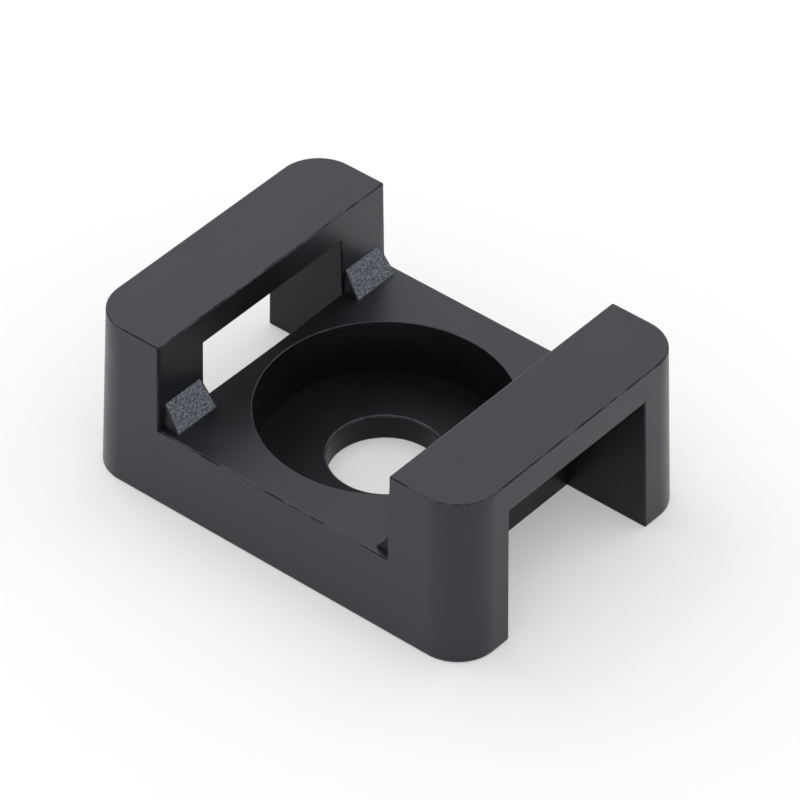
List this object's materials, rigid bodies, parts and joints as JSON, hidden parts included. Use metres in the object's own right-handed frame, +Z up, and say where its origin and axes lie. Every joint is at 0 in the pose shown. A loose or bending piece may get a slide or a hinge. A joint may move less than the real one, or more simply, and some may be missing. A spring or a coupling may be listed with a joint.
{
  "type": "cable tie mount",
  "caption": "Screw-down saddle for cable ties: a base plate with a counterbored screw hole, raised bridges with openings for the tie, and a channel between them for the bundle.",
  "frame": {"origin": "centre of the flat base, on the surface that the mount is screwed to", "axes": "+Z up, out of the mounting surface; +X along the length, from bridge to bridge, the way the tie runs; +Y across, along the bars, the way the bundle runs"},
  "size_m": [0.0224, 0.016, 0.0089],
  "materials": {
    "nylon": "dark charcoal moulded nylon, fine satin skin, spark-eroded grain on the gussets' slopes"
  },
  "bodies": {
    "root": {"saddle_mount": "nylon"}
  },
  "joints": []
}
